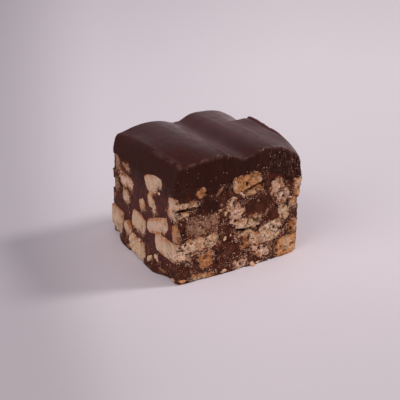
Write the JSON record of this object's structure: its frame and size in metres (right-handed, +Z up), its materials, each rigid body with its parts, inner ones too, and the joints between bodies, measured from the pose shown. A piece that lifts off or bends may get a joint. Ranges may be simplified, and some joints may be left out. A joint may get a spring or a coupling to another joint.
{
  "type": "lazy cake",
  "caption": "Square-cut block of chocolate and broken biscuits with a thick wavy chocolate topping; biscuit shards show on the cut sides.",
  "frame": {"origin": "under the middle of the bounding box, on the surface the cake rests on", "axes": "+Z up, +X along the front cut to the right, +Y from the front cut towards the back"},
  "size_m": [0.0488, 0.0478, 0.0398],
  "materials": {
    "topping": "satin dark chocolate, smooth set top with cut sides",
    "filling": "dull chocolate and crumb mix, cut surface",
    "golden": "dry golden biscuit, porous broken surface",
    "cream": "dry pale biscuit, porous broken surface",
    "rosy": "dry biscuit smeared thinly with chocolate",
    "toasted": "browned baked side of the biscuit",
    "dusty": "biscuit under a film of chocolate and crumbs"
  },
  "bodies": {
    "root": {"biscuit_back_01": "cream", "biscuit_back_02": "toasted", "biscuit_back_03": "toasted", "biscuit_back_04": "dusty", "biscuit_back_05": "cream", "biscuit_back_06": "toasted", "biscuit_back_07": "dusty", "biscuit_back_08": "cream", "biscuit_back_09": "cream", "biscuit_corner_01": "cream", "biscuit_corner_02": "rosy", "biscuit_corner_03": "toasted", "biscuit_corner_04": "golden", "biscuit_corner_05": "toasted", "biscuit_corner_06": "golden", "biscuit_corner_07": "cream", "biscuit_front_01": "golden", "biscuit_front_02": "golden", "biscuit_front_03": "rosy", "biscuit_front_04": "cream", "biscuit_front_05": "cream", "biscuit_front_06": "cream", "biscuit_front_07": "cream", "biscuit_front_08": "cream", "biscuit_front_09": "rosy", "biscuit_front_10": "golden", "biscuit_front_11": "dusty", "biscuit_front_12": "cream", "biscuit_front_13": "toasted", "biscuit_front_14": "cream", "biscuit_front_15": "cream", "biscuit_front_16": "golden", "biscuit_front_17": "rosy", "biscuit_front_18": "rosy", "biscuit_front_19": "toasted", "biscuit_front_20": "golden", "biscuit_left_01": "cream", "biscuit_left_02": "cream", "biscuit_left_03": "golden", "biscuit_left_04": "cream", "biscuit_left_05": "rosy", "biscuit_left_06": "cream", "biscuit_left_07": "cream", "biscuit_left_08": "rosy", "biscuit_left_09": "dusty", "biscuit_left_10": "rosy", "biscuit_left_11": "dusty", "biscuit_left_12": "dusty", "biscuit_right_01": "rosy", "biscuit_right_02": "cream", "biscuit_right_03": "golden", "biscuit_right_04": "dusty", "biscuit_right_05": "cream", "biscuit_right_06": "cream", "biscuit_right_07": "dusty", "biscuit_right_08": "golden", "biscuit_right_09": "cream", "filling": "filling", "topping": "topping"}
  },
  "joints": []
}
